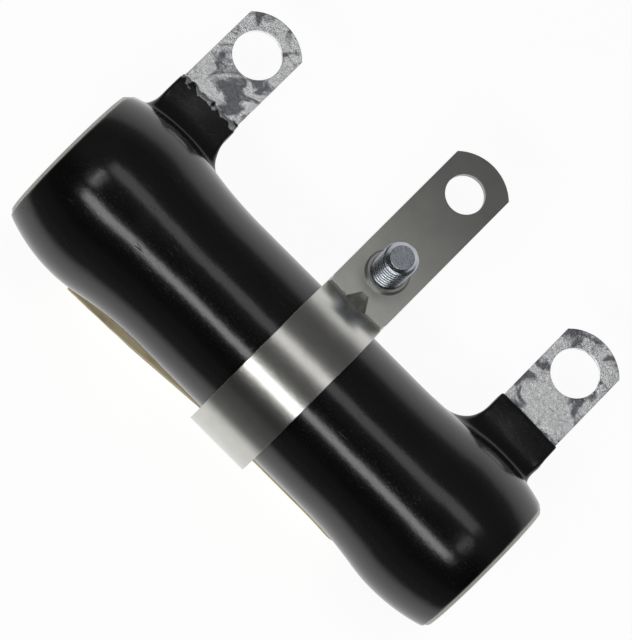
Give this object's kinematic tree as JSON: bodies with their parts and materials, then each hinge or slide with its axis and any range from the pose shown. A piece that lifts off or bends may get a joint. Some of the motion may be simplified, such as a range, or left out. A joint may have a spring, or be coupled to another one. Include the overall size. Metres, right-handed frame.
{
  "type": "adjustable wirewound resistor",
  "caption": "Enamelled tubular wirewound power resistor with an end lug at each end and a screw-clamped slider band that taps a bare track of the winding.",
  "frame": {"origin": "on the tube's bore axis, at mid-length", "axes": "+X along the tube towards the right terminal, +Y the way the lugs and the tab point, +Z the way the clamp screw's threaded end points"},
  "size_m": [0.0508, 0.0351, 0.017],
  "materials": {
    "ceramic": "matt fired ceramic",
    "resistance_wire": "oxidised bare wire",
    "tinned_metal": "bright solder-dipped",
    "braze": "bright bead",
    "enamel": "glossy vitreous enamel",
    "fibre": "matt fibre",
    "nickel_steel": "satin nickel plate",
    "contact_metal": "satin silver alloy",
    "screw_steel": "bright zinc plate"
  },
  "bodies": {
    "resistor_tube": {"ceramic_core": "ceramic", "resistance_winding": "resistance_wire", "left_terminal": "tinned_metal", "right_terminal": "tinned_metal", "left_braze_bead": "braze", "right_braze_bead": "braze", "enamel_coat": "enamel", "protective_strip": "fibre"},
    "slider": {"slider_band": "nickel_steel", "contact_rivet": "contact_metal"},
    "screw": {"clamp_screw": "screw_steel"}
  },
  "joints": [
    {"name": "slider_slide", "type": "slide", "parent": "resistor_tube", "child": "slider", "axis": [1, 0, 0], "range_m": [-0.0098, 0.0084]},
    {"name": "clamp_screw_turn", "type": "hinge", "parent": "slider", "child": "screw", "pos_m": [0.0014, 0.0125, 0], "axis": [0, 0, 1], "range_deg": [-540, 450]}
  ]
}
